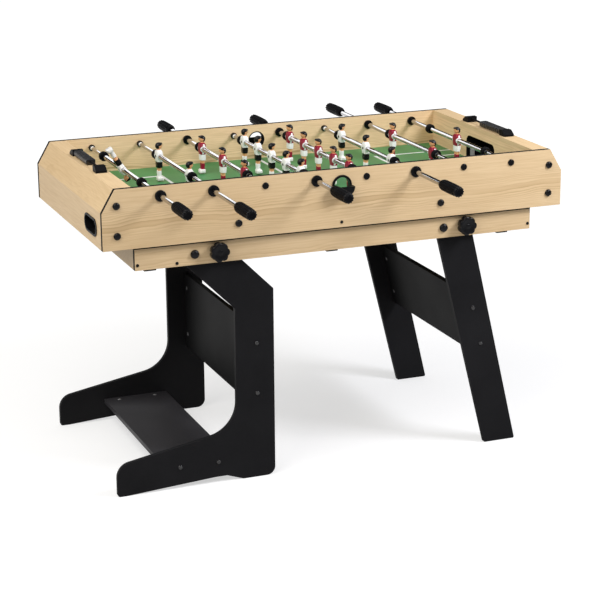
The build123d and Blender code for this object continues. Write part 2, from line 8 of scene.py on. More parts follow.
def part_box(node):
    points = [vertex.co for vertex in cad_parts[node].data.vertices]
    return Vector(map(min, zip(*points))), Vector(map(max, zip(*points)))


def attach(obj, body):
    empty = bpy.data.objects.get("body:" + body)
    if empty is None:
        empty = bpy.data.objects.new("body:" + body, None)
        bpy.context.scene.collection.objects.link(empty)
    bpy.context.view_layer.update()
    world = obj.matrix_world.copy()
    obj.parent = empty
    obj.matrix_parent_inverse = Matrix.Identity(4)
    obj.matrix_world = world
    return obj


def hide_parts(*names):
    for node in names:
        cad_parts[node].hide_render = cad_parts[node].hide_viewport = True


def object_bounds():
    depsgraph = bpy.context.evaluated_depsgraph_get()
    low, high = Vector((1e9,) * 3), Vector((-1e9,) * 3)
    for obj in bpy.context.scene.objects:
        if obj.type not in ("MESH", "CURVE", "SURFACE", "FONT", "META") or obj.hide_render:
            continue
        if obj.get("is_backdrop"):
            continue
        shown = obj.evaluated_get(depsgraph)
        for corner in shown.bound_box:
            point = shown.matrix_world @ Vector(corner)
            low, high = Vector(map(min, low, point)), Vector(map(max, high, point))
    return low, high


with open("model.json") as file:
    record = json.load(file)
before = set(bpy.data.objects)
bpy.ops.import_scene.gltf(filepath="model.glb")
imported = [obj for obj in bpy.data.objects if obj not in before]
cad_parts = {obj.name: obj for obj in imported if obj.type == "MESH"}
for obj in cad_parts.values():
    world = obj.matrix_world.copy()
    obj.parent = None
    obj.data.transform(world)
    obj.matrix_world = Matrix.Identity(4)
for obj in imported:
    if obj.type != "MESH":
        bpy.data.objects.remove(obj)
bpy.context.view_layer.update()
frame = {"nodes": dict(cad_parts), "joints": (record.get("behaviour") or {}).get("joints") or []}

nodes = frame["nodes"]
joints = {joint["name"]: joint for joint in frame["joints"]}
scene = bpy.context.scene
scene.view_settings.view_transform = "Standard"

MM = 0.001
X, Y, Z = range(3)
RODS = range(1, 9)
INNER_RODS = [f"rod_{k}_inner_rod" for k in RODS]
TUBES = [f"rod_{k}_tube_and_screws" for k in RODS]


# Node graphs

class Graph:
    """A new material with short calls for adding nodes to it."""

    def __init__(self, name):
        self.material = bpy.data.materials.new(name)
        self.material.use_nodes = True
        self.tree = self.material.node_tree
        self.shader = self.tree.nodes["Principled BSDF"]
        coords = self.tree.nodes.new("ShaderNodeTexCoord")
        self.point = coords.outputs["Object"]
        self.normal = coords.outputs["Normal"]

    def put(self, node, key, value):
        """Links a socket to an input, or sets the input to a number or colour."""
        if isinstance(value, bpy.types.NodeSocket):
            self.tree.links.new(value, node.inputs[key])
        else:
            node.inputs[key].default_value = value

    def add(self, kind, inputs=(), **settings):
        node = self.tree.nodes.new(kind)
        for key, value in settings.items():
            setattr(node, key, value)
        for key, value in dict(inputs).items():
            self.put(node, key, value)
        return node

    def math(self, operation, a, b=0.0, clamp=False):
        node = self.add("ShaderNodeMath", {0: a, 1: b}, operation=operation, use_clamp=clamp)
        return node.outputs[0]

    def hypot(self, a, b):
        return self.math("SQRT", self.math("ADD", self.math("MULTIPLY", a, a), self.math("MULTIPLY", b, b)))

    def between(self, share, low, high):
        """From one number to another as the share goes from 0 to 1."""
        return self.math("ADD", self.math("MULTIPLY", share, high - low), low)

    def blend(self, share, a, b):
        """From one value to another as the share goes from 0 to 1, where the values may vary too."""
        return self.math("ADD", a, self.math("MULTIPLY", share, self.math("SUBTRACT", b, a)))

    def beyond(self, value, limit):
        """1 where the value is further from zero than the limit."""
        return self.math("GREATER_THAN", self.math("ABSOLUTE", value), limit)

    def within(self, value, limit):
        """1 where the value is nearer to zero than the limit."""
        return self.math("LESS_THAN", self.math("ABSOLUTE", value), limit)

    def parts(self, vector):
        return self.add("ShaderNodeSeparateXYZ", {0: vector}).outputs

    def vector(self, x, y, z):
        return self.add("ShaderNodeCombineXYZ", {0: x, 1: y, 2: z}).outputs[0]

    def stretch(self, vector, scale, turn=0.0):
        node = self.add("ShaderNodeMapping", {"Vector": vector})
        node.inputs["Scale"].default_value = scale
        node.inputs["Rotation"].default_value = (0, 0, turn)
        return node.outputs[0]

    def noise(self, vector, scale, detail=2.0, rough=0.5):
        node = self.add("ShaderNodeTexNoise", {"Vector": vector, "Scale": scale, "Detail": detail})
        node.inputs["Roughness"].default_value = rough
        return node.outputs["Fac"]

    def ramp(self, value, *stops):
        """Grey levels at places along a value."""
        node = self.add("ShaderNodeValToRGB", {0: value})
        points = node.color_ramp.elements
        while len(points) < len(stops):
            points.new(0.5)
        for point, (place, level) in zip(points, stops):
            point.position = place
            point.color = (level, level, level, 1)
        return node.outputs[0]

    def mix(self, factor, a, b):
        node = self.add("ShaderNodeMix", data_type="RGBA")
        for key, value in ((0, factor), (6, a), (7, b)):
            self.put(node, key, (*value, 1) if isinstance(value, tuple) else value)
        return node.outputs[2]

    def bump(self, height, strength, distance, edge=0.0):
        """A bump, on edges that look rounded where edge gives a radius in metres."""
        node = self.add("ShaderNodeBump", {"Height": height, "Strength": strength, "Distance": distance})
        if edge:
            rounded = self.add("ShaderNodeBevel", {"Radius": edge}, samples=4)
            self.put(node, "Normal", rounded.outputs[0])
        self.put(self.shader, "Normal", node.outputs[0])

    def surface(self, color, rough, metal=0.0, specular=0.5):
        self.put(self.shader, "Base Color", color)
        self.put(self.shader, "Roughness", rough)
        self.put(self.shader, "Metallic", metal)
        self.put(self.shader, "Specular IOR Level", specular)
        return self.material


# Where the material changes on a piece, in metres

ROD_HEIGHT = joints["rod_1_spin"]["pos_m"][Z]
ROD_PITCH = joints["rod_2_spin"]["pos_m"][X] - joints["rod_1_spin"]["pos_m"][X]
TUBE_REACH = 0.0080
COLLAR_AT = 0.2835
# Length of the white band painted as the rod's highlight before the far collar
HIGHLIGHT_LENGTH = 0.009
ROD_CORE_RADIUS = 0.0054
# Radius of the painted shade round the screw in a man's back
SCREW_SHADE_RADIUS = 0.0036
LONG_APRON_FROM = 0.2808
# Height above which the long apron boards carry a painted shadow under the panels
APRON_SHADOW_FROM = 0.6224
COVER_FROM = 0.535
NUT_REACH = 0.262
STRIP_FROM_Y = 0.0822
STRIP_TO_X = 0.5545
STRIP_TOP = 0.712


def looks_in(g, axis, limit):
    """The faces that look at the middle of the table along an axis.

    There the normal times the place is below zero by more than the limit.
    """
    inward = g.math("MULTIPLY", g.parts(g.normal)[axis], g.parts(g.point)[axis])
    return g.math("LESS_THAN", inward, -limit)


def panel_edges(g):
    """The edges of a long panel: every face that doesn't look along Y."""
    return g.within(g.parts(g.normal)[Y], 0.5)


def panel_inside(g):
    """The face of a long panel that looks at the playfield."""
    return looks_in(g, Y, 0.1)


def wall_inside(g):
    """The face of an end wall that looks at the playfield."""
    return looks_in(g, X, 0.1)


def goal_rim(g):
    """The cut edge of the goal mouth and the back of the end wall."""
    return g.math("SUBTRACT", 1.0, looks_in(g, X, 0.3))


def apron_edges_and_shadow(g):
    """The ends and lower edges of the two long apron boards, and a painted shadow band along their tops."""
    long_board = g.beyond(g.parts(g.point)[Y], LONG_APRON_FROM)
    # Painted shadow: a dark band along the top of the apron, under the panel's lower edge
    band = g.math("GREATER_THAN", g.parts(g.point)[Z], APRON_SHADOW_FROM)
    return g.math("MULTIPLY", long_board, g.math("MAXIMUM", panel_edges(g), band))


def cover_inside(g):
    """The faces of an end cover that look into the hollow end."""
    under = g.math("LESS_THAN", g.parts(g.normal)[Z], -0.2)
    hidden = g.math("MAXIMUM", looks_in(g, X, 0.15), under)
    return g.math("MULTIPLY", hidden, g.beyond(g.parts(g.point)[X], COVER_FROM))


def screw_hole_shade(g):
    """Painted shade of the screw's recess in a man's back, level with the rod."""
    x, y, z = g.parts(g.point)
    near = g.math("LESS_THAN", g.hypot(y, z), SCREW_SHADE_RADIUS)
    return g.math("MULTIPLY", near, g.math("LESS_THAN", x, 0.0))


# Materials

NEAR_BLACK = (0.006, 0.006, 0.007)
SOFT_BLACK = (0.010, 0.010, 0.011)
GRIP_BLACK = (0.00305, 0.00305, 0.0040)
SCREW_GREY = (0.02, 0.02, 0.02)
# White of the rod's painted highlight
PAINTED_HIGHLIGHT_WHITE = (0.88, 0.88, 0.87)
FLECK_GREEN = (0.030, 0.165, 0.050)
RAW_BOARD = (0.42, 0.31, 0.19)
RING_BROWN = (0.440, 0.280, 0.125)
FIBRE_BROWN = (0.600, 0.415, 0.220)

# Pairs of tones that are mixed in clouds
OUTER_MAPLE = (0.775, 0.580, 0.348), (0.725, 0.528, 0.302)
# Paler tones for the faces inside the table: painted light
INNER_MAPLE_PAINTED_LIGHT = (0.885, 0.645, 0.400), (0.830, 0.585, 0.345)
ZINC = (0.26, 0.26, 0.27), (0.36, 0.36, 0.37)
STEEL = (0.45, 0.45, 0.47), (0.55, 0.55, 0.56)
FIELD_GREEN = (0.040, 0.215, 0.066), (0.058, 0.275, 0.088)
STRIP_WHITE = (0.86, 0.86, 0.85), (0.92, 0.92, 0.91)
FLOOR_GREY = (0.50, 0.50, 0.50), (0.53, 0.53, 0.53)

# Growth rings of the maple, with how far they stray in metres, and the stretch of each noise in it
RINGS_PER_METRE = 235.0
RING_SWAY = 0.025
RING_RIPPLE = 0.0035
SWAY_STRETCH = (2.4, 4, 4)
RIPPLE_STRETCH = (16, 60, 60)
PATCH_STRETCH = (2.2, 9, 14)
FIBRE_STRETCH = (14, 300, 300)
TONE_STRETCH = (1.1, 5, 5)

# Noise scales of the fine texture on polished plastic, and on rubber grips and paint
POLISHED_GRAIN = 1500.0
GRIP_GRAIN = 1100.0
PAINT_GRAIN = 500.0


def maple(name, along, heart, centre, spread, contrast, dark, pale=None):
    """Pale wood-print laminate with dark edges and, on some boards, a paler inside that is painted light.

    The grain runs along an axis. It is growth rings round a heart line at a distance from the middle of
    the table, strongest near the centre height.
    """
    g = Graph(name)
    turned = g.stretch(g.point, (1, 1, 1), math.pi / 2 if along == Y else 0.0)
    x, y, z = g.parts(turned)
    depth = g.math("SUBTRACT", g.math("ABSOLUTE", y), heart)
    rise = g.math("SUBTRACT", z, centre)
    drift = g.noise(g.stretch(g.vector(x, depth, rise), SWAY_STRETCH), 1.7)
    sway = g.between(drift, -RING_SWAY, RING_SWAY)
    ripple = g.between(g.noise(g.stretch(turned, RIPPLE_STRETCH), 1.0, 3.0), -RING_RIPPLE, RING_RIPPLE)
    radius = g.hypot(depth, g.math("ADD", g.math("ADD", rise, sway), ripple))
    ring = g.math("FRACT", g.math("MULTIPLY", radius, RINGS_PER_METRE))
    line = g.ramp(ring, (0.0, 0.0), (0.45, 0.05), (0.82, 0.60), (0.92, 1.0), (1.0, 0.0))
    patch = g.ramp(g.noise(g.stretch(turned, PATCH_STRETCH), 1.5), (0.36, 0.15), (0.60, 1.0))
    off_centre = g.math("ABSOLUTE", g.math("ADD", rise, g.math("MULTIPLY", sway, 0.4)))
    band = g.ramp(g.math("DIVIDE", off_centre, spread, clamp=True), (0.25, 1.0), (1.0, 0.16))
    shown = g.math("MULTIPLY", g.math("MULTIPLY", line, patch), band)
    fibre = g.noise(g.stretch(turned, FIBRE_STRETCH), 1.0, 3.0)
    streak = g.math("MULTIPLY", g.ramp(fibre, (0.35, 0.0), (0.75, 1.0)), 0.55)
    tone = g.ramp(g.noise(g.stretch(turned, TONE_STRETCH), 2.0), (0.3, 0.0), (0.7, 1.0))
    color = g.mix(tone, *OUTER_MAPLE)
    if pale:
        # Painted light: the faces inside the table get the paler maple
        color = g.mix(pale(g), color, g.mix(tone, *INNER_MAPLE_PAINTED_LIGHT))
    color = g.mix(g.math("MULTIPLY", shown, contrast), color, RING_BROWN)
    color = g.mix(streak, color, FIBRE_BROWN)
    # On the apron this dark mask also holds a painted shadow along the top
    edge = dark(g)
    color = g.mix(edge, color, NEAR_BLACK)
    rough = g.math("ADD", g.between(fibre, 0.36, 0.50), g.math("MULTIPLY", edge, 0.4))
    g.bump(g.math("ADD", shown, g.math("MULTIPLY", fibre, 0.5)), 0.10, 0.0006, edge=0.0007)
    return g.surface(color, rough, specular=0.14)


def shades(color, spread):
    """A darker and a lighter version of a colour."""
    return tuple(c * (1 - spread) for c in color), tuple(min(1.0, c * (1 + spread)) for c in color)


def laminate(name, color, spread, rough=0.42, specular=0.14):
    """Fine-grained dark or light laminate with a faint pressed texture."""
    g = Graph(name)
    grain = g.noise(g.point, 900.0, 3.0, 0.6)
    cloud = g.noise(g.point, 9.0, 3.0)
    level = g.blend(0.4, grain, cloud)
    shade = g.mix(g.ramp(level, (0.35, 0.0), (0.65, 1.0)), *shades(color, spread))
    g.bump(grain, 0.16, 0.0004, edge=0.0009)
    return g.surface(shade, g.between(cloud, rough - 0.08, rough + 0.08), specular=specular)


def wear_of(g):
    """Cloudy wear of plastic, rubber, paint and bolts."""
    return g.noise(g.point, 60.0, 4.0, 0.6)


def moulded(
    name, color, rough=0.35, grain=1400.0, depth=0.0002, spread=0.25, specular=0.25, edge=0.0, spot=None
):
    """Moulded plastic, rubber or paint with a fine texture.

    The edge is a radius in metres by which edges look rounded. The spot says where painted shade makes the
    surface black.
    """
    g = Graph(name)
    wear = wear_of(g)
    shade = g.mix(wear, *shades(color, spread))
    if spot:
        shade = g.mix(spot(g), shade, NEAR_BLACK)
    g.bump(g.noise(g.point, grain), 0.25, depth, edge)
    return g.surface(shade, g.between(wear, rough - 0.1, rough + 0.1), specular=specular)


def paint(name, color, rough, spread, specular, spot=None):
    """Smooth paint on a man."""
    return moulded(name + "_paint", color, rough, PAINT_GRAIN, 0.0001, spread, specular, spot=spot)


def frame_bolt(name):
    """Glossy black bolt heads on the outer faces, and zinc-plated barrel nuts further in."""
    g = Graph(name)
    wear = wear_of(g)
    black = g.mix(wear, NEAR_BLACK, SOFT_BLACK)
    zinc = g.mix(wear, *ZINC)
    color = g.mix(g.within(g.parts(g.point)[Y], NUT_REACH), black, zinc)
    g.bump(g.noise(g.point, POLISHED_GRAIN), 0.25, 0.00002, edge=0.0055)
    return g.surface(color, g.between(wear, 0.06, 0.26), specular=1.0)


def chrome(name, collared=False):
    """Polished steel with fine turning marks and dark screws.

    A collared rod ends in a black collar at the far bearing, with a white band before it that is a painted
    highlight.
    """
    g = Graph(name)
    marks = g.noise(g.stretch(g.point, (90, 2600, 90)), 1.0)
    smear = g.noise(g.point, 35.0, 3.0)
    x, y, z = g.parts(g.point)
    wrapped = g.add("ShaderNodeMath", {0: x, 1: ROD_PITCH, 2: 0.0}, operation="WRAP").outputs[0]
    aside = g.math("SUBTRACT", wrapped, ROD_PITCH / 2)
    away = g.hypot(aside, g.math("SUBTRACT", z, ROD_HEIGHT))
    color = g.mix(smear, *STEEL)
    color = g.mix(g.math("GREATER_THAN", away, TUBE_REACH), color, SCREW_GREY)
    rough = g.between(smear, 0.06, 0.14)
    g.bump(marks, 0.05, 0.0001)
    if not collared:
        return g.surface(color, rough, metal=1.0)
    # Painted highlight: a white, non-metal band on the rod before the far collar
    painted_highlight = g.beyond(y, COLLAR_AT - HIGHLIGHT_LENGTH)
    collar = g.math("MULTIPLY", g.beyond(y, COLLAR_AT), g.math("GREATER_THAN", away, ROD_CORE_RADIUS))
    color = g.mix(painted_highlight, color, PAINTED_HIGHLIGHT_WHITE)
    color = g.mix(collar, color, NEAR_BLACK)
    rough = g.math("ADD", rough, g.math("MULTIPLY", painted_highlight, 0.3))
    return g.surface(color, rough, metal=g.math("SUBTRACT", 1.0, painted_highlight))


def field_green(name):
    """Printed green board, faintly mottled, with raw brown edges and underside."""
    g = Graph(name)
    mottle = g.noise(g.point, 26.0, 4.0, 0.6)
    fine = g.noise(g.point, 700.0)
    color = g.mix(mottle, *FIELD_GREEN)
    color = g.mix(g.math("MULTIPLY", fine, 0.25), color, FLECK_GREEN)
    raw = g.math("LESS_THAN", g.parts(g.normal)[Z], 0.5)
    color = g.mix(raw, color, RAW_BOARD)
    g.bump(fine, 0.10, 0.0002)
    return g.surface(color, g.between(mottle, 0.33, 0.48), specular=0.4)


def goal_inside(name):
    """Black tray and closing board with a white strip on the board beside the goal mouth."""
    g = Graph(name)
    grain = g.noise(g.point, 500.0)
    x, y, z = g.parts(g.point)
    strip = g.math("MULTIPLY", g.math("GREATER_THAN", y, STRIP_FROM_Y), g.math("LESS_THAN", z, STRIP_TOP))
    strip = g.math("MULTIPLY", strip, g.within(x, STRIP_TO_X))
    white = g.mix(grain, *STRIP_WHITE)
    color = g.mix(strip, g.mix(grain, NEAR_BLACK, SOFT_BLACK), white)
    g.bump(grain, 0.1, 0.0002)
    return g.surface(color, g.between(grain, 0.5, 0.7), specular=0.08)


maple_panel = maple(
    "maple_panel", X, heart=0.285, centre=0.688, spread=0.052, contrast=0.85,
    dark=panel_edges, pale=panel_inside,
)
maple_apron = maple(
    "maple_apron", X, heart=0.262, centre=0.600, spread=0.110, contrast=0.50, dark=apron_edges_and_shadow,
)
maple_cover = maple(
    "maple_cover", Y, heart=0.560, centre=0.690, spread=0.120, contrast=0.24, dark=cover_inside,
)
maple_wall = maple(
    "maple_wall", Y, heart=0.470, centre=0.700, spread=0.120, contrast=0.45,
    dark=goal_rim, pale=wall_inside,
)
black_board = laminate("black_laminate", (0.0142, 0.0140, 0.0152), 0.22, rough=0.50, specular=0.05)
# A darker copy of the black laminate for the cross boards: painted shade
black_shaded_laminate = laminate("black_laminate_painted_shade", (0.0098, 0.0098, 0.0103), 0.22, rough=0.50, specular=0.05)
# A lighter copy of the black laminate for the foot board: its lighter colour is painted sheen
black_sheen_laminate = laminate("black_laminate_painted_sheen", (0.0320, 0.0310, 0.0345), 0.22, rough=0.45, specular=0.22)
white_block = laminate("white_laminate", (0.62, 0.61, 0.59), 0.06)
green_board = field_green("green_field")
goal_dark = goal_inside("goal_inside")
chrome_rod = chrome("chrome_rod")
chrome_core = chrome("chrome_core", collared=True)
black_bolt = frame_bolt("black_bolt")
white_line = moulded(
    "white_line_paint", (0.80, 0.82, 0.80), rough=0.45, grain=900.0, depth=0.0001, spread=0.05,
)
black_gloss = moulded(
    "black_gloss", (0.004, 0.004, 0.005), rough=0.16, grain=POLISHED_GRAIN,
    depth=0.00003, specular=0.22,
)
black_cap = moulded(
    "black_cap", (0.002, 0.002, 0.003), rough=0.16, grain=POLISHED_GRAIN,
    depth=0.00002, specular=0.36, edge=0.0055,
)
black_knob = moulded(
    "black_knob", (0.004, 0.004, 0.005), rough=0.22, grain=POLISHED_GRAIN,
    depth=0.00004, specular=0.26, edge=0.002,
)
black_bead = moulded(
    "black_bead", (0.008, 0.008, 0.010), rough=0.26, grain=POLISHED_GRAIN,
    depth=0.00005, specular=0.5,
)
black_rubber = moulded(
    "black_rubber", (0.004, 0.004, 0.005), rough=0.46, grain=800.0, depth=0.0003, specular=0.07,
)
grip_body = moulded("black_grip", GRIP_BLACK, rough=0.32, grain=GRIP_GRAIN, specular=0.04)
grip_cap = moulded("black_grip_cap", GRIP_BLACK, rough=0.20, grain=GRIP_GRAIN, specular=0.12)
black_plastic = moulded("black_plastic", (0.006, 0.006, 0.007), rough=0.36, specular=0.14)
black_dull = moulded("black_dull", (0.005, 0.005, 0.006), rough=0.40, specular=0.06)
paints = {
    "white": paint("white", (0.88, 0.87, 0.85), rough=0.34, spread=0.04, specular=0.4, spot=screw_hole_shade),
    "maroon": paint("maroon", (0.265, 0.007, 0.030), rough=0.34, spread=0.16, specular=0.3, spot=screw_hole_shade),
    "black": paint("black", (0.005, 0.005, 0.006), rough=0.24, spread=0.2, specular=0.25),
    "skin": paint("skin", (0.780, 0.395, 0.185), rough=0.38, spread=0.10, specular=0.3),
    "boot": paint("boot", (0.84, 0.82, 0.79), rough=0.36, spread=0.05, specular=0.4),
}


# Meshes, in millimetres until they are made

SPAN_GAP = 8.0
SQUARED_STEPS = 40


def mesh_from(name, vertices, faces, materials, slots=None, sharp=40.0):
    """A mesh in metres from points in millimetres, smooth apart from edges sharper than the angle given."""
    mesh = bpy.data.meshes.new(name)
    mesh.from_pydata([Vector(v) * MM for v in vertices], [], faces)
    for material in materials:
        mesh.materials.append(material)
    if slots:
        mesh.polygons.foreach_set("material_index", slots)
    mesh.polygons.foreach_set("use_smooth", [True] * len(mesh.polygons))
    mesh.update()
    mesh.set_sharp_from_angle(angle=math.radians(sharp))
    return mesh


class Shell:
    """Points, faces and material numbers that grow as rings are joined."""

    def __init__(self):
        self.vertices = []
        self.faces = []
        self.slots = []

    def loft(self, rings, slots, ends=True):
        """Joins rings of equal counts and, where ends is true, closes the first and the last one.

        slots is one material number, or a list with one for each gap between rings.
        """
        start = len(self.vertices)
        count = len(rings[0])
        if not isinstance(slots, list):
            slots = [slots] * (len(rings) - 1)
        for ring in rings:
            self.vertices.extend(ring)
        for row, slot in enumerate(slots):
            low = start + row * count
            high = low + count
            for i in range(count):
                j = (i + 1) % count
                self.faces.append((low + i, low + j, high + j, high + i))
                self.slots.append(slot)
        if ends:
            top = start + (len(rings) - 1) * count
            self.faces.append(tuple(start + i for i in reversed(range(count))))
            self.faces.append(tuple(top + i for i in range(count)))
            self.slots.extend((slots[0], slots[-1]))

    def middle(self, face):
        return sum((Vector(self.vertices[v]) for v in face), Vector()) / len(face)

    def drop(self, unwanted):
        """Takes out the faces whose middle is where unwanted says."""
        pairs = zip(self.faces, self.slots)
        kept = [(face, slot) for face, slot in pairs if not unwanted(self.middle(face))]
        self.faces = [face for face, _ in kept]
        self.slots = [slot for _, slot in kept]

    def mesh(self, name, materials, sharp=40.0):
        return mesh_from(name, self.vertices, self.faces, materials, self.slots, sharp)


def clamped(value):
    return max(0.0, min(1.0, value))


def polar(radius, angle, z):
    return radius * math.cos(angle), radius * math.sin(angle), z


def circle(radius, z, count):
    return [polar(radius, math.tau * i / count, z) for i in range(count)]


def lathe(shell, profile, count, closed=False):
    """Turns radii and heights round Z. A closed profile makes a ring, an open one gets flat ends."""
    rows = profile + profile[:1] if closed else profile
    shell.loft([circle(radius, z, count) for radius, z in rows], 0, ends=not closed)


def squared(half_x, half_y, power, z):
    """A level ring between an ellipse (power 2) and a rectangle (high power)."""
    ring = []
    for i in range(SQUARED_STEPS):
        a = math.tau * (i + 0.5) / SQUARED_STEPS
        c, s = math.cos(a), math.sin(a)
        x = half_x * math.copysign(abs(c) ** (2 / power), c)
        y = half_y * math.copysign(abs(s) ** (2 / power), s)
        ring.append((x, y, z))
    return ring


def place(mesh, name, matrix, body, slot, *replaced):
    """Puts a mesh into the scene at a matrix, on a body, standing for CAD nodes."""
    piece = bpy.data.objects.new(name, mesh)
    scene.collection.objects.link(piece)
    piece.matrix_world = matrix
    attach(piece, body)
    if replaced:
        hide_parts(*replaced)


def spans(node):
    """Stretches of a CAD node along Y, in millimetres, split where nothing lies for longer than the gap."""
    ys = sorted({round(v.co.y / MM, 3) for v in nodes[node].data.vertices})
    found = [[ys[0], ys[0]]]
    for y in ys:
        if y - found[-1][1] > SPAN_GAP:
            found.append([y, y])
        found[-1][1] = y
    return found


def on_rod(k, y):
    """A place on the axis of a rod, at y in millimetres."""
    x, _, z = joints[f"rod_{k}_spin"]["pos_m"]
    return Matrix.Translation((x, y * MM, z))


def along_y(side):
    """The turn that points a mesh made along +Z towards +Y (side 1) or -Y (side -1)."""
    return Matrix.Rotation(-side * math.pi / 2, 4, "X")


# CAD nodes that keep their shape get a material

def dress(node, material):
    """Gives a CAD node one material all over."""
    piece = nodes[node]
    if not piece.data.materials:
        piece.data.materials.append(material)
    for held in piece.material_slots:
        held.material = material


dressed = (
    (maple_panel, ["front_panel", "back_panel"]),
    (maple_apron, ["apron_boards"]),
    (maple_cover, ["end_covers"]),
    (maple_wall, ["end_walls"]),
    (green_board, ["playfield"]),
    (goal_dark, ["goal_boxes"]),
    (white_block, ["corner_blocks"]),
    (black_rubber, ["apron_pads"]),
    (black_board, ["stand_sides", "leg_sides"]),
    (black_shaded_laminate, ["stand_post_board", "leg_cross_board"]),
    (black_sheen_laminate, ["stand_foot_board"]),
    (black_cap, ["cabinet_bolts", "pivot_bolts"]),
    (black_bolt, ["stand_bolts", "leg_bolts"]),
    (black_gloss, ["rod_bearings"]),
    (black_plastic, ["ball_ports"]),
    (black_dull, ["ball_cups", "score_frames"]),
    (chrome_core, INNER_RODS),
    (chrome_rod, TUBES),
)
for material, held_by in dressed:
    for node in held_by:
        dress(node, material)


# Men: stacked rings from the sole to the neck, as height, half width, half depth, forward shift, squareness

BODY_ROWS = [
    (-64.0, 9.0, 7.6, 2.0, 4.5), (-63.2, 9.9, 8.4, 2.0, 4.5), (-57.0, 9.9, 8.2, 1.8, 4.5),
    (-54.8, 9.2, 7.3, 1.2, 3.6), (-53.8, 8.0, 5.6, 0.2, 3.0), (-50.0, 7.5, 5.0, 0.0, 2.6),
    (-43.0, 8.4, 5.7, -0.3, 2.6), (-38.0, 8.3, 5.4, 0.0, 2.6), (-37.6, 7.8, 4.9, 0.0, 2.5),
    (-33.5, 8.2, 5.6, 0.4, 2.5), (-30.0, 8.8, 5.8, 0.2, 2.5), (-29.7, 10.4, 7.4, 0.1, 3.4),
    (-22.0, 10.9, 7.7, 0.0, 3.8), (-14.3, 10.4, 7.2, 0.0, 3.8), (-14.0, 11.0, 7.7, 0.1, 4.2),
    (-7.2, 11.7, 8.2, 0.2, 4.6), (-4.5, 12.0, 8.4, 0.2, 4.8), (-1.5, 12.3, 8.6, 0.2, 5.0),
    (1.5, 12.6, 8.8, 0.2, 5.0), (4.5, 12.7, 8.7, 0.2, 5.0), (7.2, 12.7, 8.5, 0.1, 5.0),
    (11.5, 12.2, 7.7, 0.0, 4.6), (13.6, 11.0, 6.9, 0.0, 3.8), (15.4, 8.4, 6.0, 0.0, 3.0),
    (16.6, 5.8, 5.0, 0.0, 2.4), (17.2, 4.8, 4.5, 0.0, 2.0), (20.5, 4.3, 4.3, 0.2, 2.0),
    (22.0, 4.2, 4.2, 0.2, 2.0),
]
SHIRT, SHORTS, SKIN, HAIR, SOCK, BOOT, SLEEVE = range(7)
BODY_SLOTS = [BOOT] * 4 + [SOCK] * 3 + [SKIN] * 3 + [SHORTS] * 3 + [SHIRT] * 11 + [SKIN] * 3

# Grooves between the legs and down the shorts, as lower height, upper height, depth as a share
LEG_GROOVES = [(-54.0, -29.9, 0.42), (-29.9, -16.0, 0.16)]
LEG_GROOVE_WIDTH = 1.9

# Arms as forward place, sideways place, height, radius
ARM_ROWS = [
    (-0.8, 10.4, 13.4, 0.9), (-0.8, 11.1, 11.6, 1.7), (-0.9, 11.4, 8.6, 1.8), (-0.9, 11.4, 6.8, 1.8),
    (0.0, 11.2, -6.8, 1.7), (1.0, 10.8, -9.0, 1.6), (1.8, 10.4, -12.4, 1.5), (2.0, 10.3, -13.4, 0.9),
]
ARM_BREADTH = 2.0
ARM_STEPS = 14

# The hole for the rod, and the boss round it as radius and distance from the man's middle
BORE = 6.6
BOSS_PROFILE = [(6.45, 10.3), (8.6, 10.3), (8.5, 12.5), (7.9, 13.2), (6.45, 13.2), (6.45, 10.3)]
BOSS_STEPS = 28

# The head, and the ears and eyes as places from its middle. Steps are counts of rings and of points on a ring
HEAD = Vector((0.3, 0.0, 25.9))
HEAD_RADII, HEAD_STEPS = (8.75, 8.5, 8.8), (22, 32)
EAR_AT, EAR_RADII, EAR_STEPS = (-0.4, 8.2, -0.8), (1.5, 0.9, 2.0), (6, 10)
EYE_AT, EYE_RADII, EYE_STEPS = (7.75, 3.1, 1.0), (0.6, 0.95, 0.7), (5, 8)
POLE_GAP = 0.02

# Hair, nose and chin, as shares of the head's radius
HAIRLINE, HAIRLINE_SLANT = 0.05, 0.48
NAPE_BACK, NAPE_LOW = -0.22, -0.78
HAIR_SWELL, FACE_SWELL = 1.06, 0.97
TUFT_RISE, TUFT_LEVEL, TUFT_SPREAD = 0.26, 0.58, 0.24
TUFT_FROM, TUFT_RUN = 0.15, 0.5
NOSE = {"rise": 0.20, "width": 0.16, "level": -0.10, "spread": 0.17}
CHIN = {"rise": 0.06, "width": 0.4, "level": -0.75, "spread": 0.2}


def body_rings():
    """The body's rings, with a groove between the legs and down the shorts."""
    rings = []
    for z, half_y, half_x, shift, power in BODY_ROWS:
        groove = sum(depth for low, high, depth in LEG_GROOVES if low < z < high)
        ring = []
        for x, y, _ in squared(half_x, half_y, power, z):
            squeeze = 1 - groove * math.exp(-((y / LEG_GROOVE_WIDTH) ** 2))
            ring.append((x * squeeze + shift, y, z))
        rings.append(ring)
    return rings


def arm_rings(side):
    """An arm from the hand to the shoulder."""
    rings = []
    for x, y, z, radius in reversed(ARM_ROWS):
        outline = circle(radius, z, ARM_STEPS)
        rings.append([(x + ARM_BREADTH * px, side * y + py, z) for px, py, _ in outline])
    return rings


def boss_rings(side):
    """The ring round the rod's hole on one side of a man."""
    rings = []
    for radius, out in BOSS_PROFILE:
        ring = [(px, side * pz, py) for px, py, pz in circle(radius, out, BOSS_STEPS)]
        rings.append(ring if side < 0 else ring[::-1])
    return rings


def ball_rings(centre, radii, steps, swell=None):
    """Rings of an ellipsoid from its lowest to its highest point."""
    rings = []
    rows, count = steps
    for row in range(rows + 1):
        t = math.pi * min(max(row, POLE_GAP), rows - POLE_GAP) / rows
        ring = []
        for i in range(count):
            way = Vector(polar(math.sin(t), math.tau * i / count, -math.cos(t)))
            grow = swell(way) if swell else 1.0
            ring.append(tuple(centre + Vector([w * r * grow for w, r in zip(way, radii)])))
        rings.append(ring)
    return rings


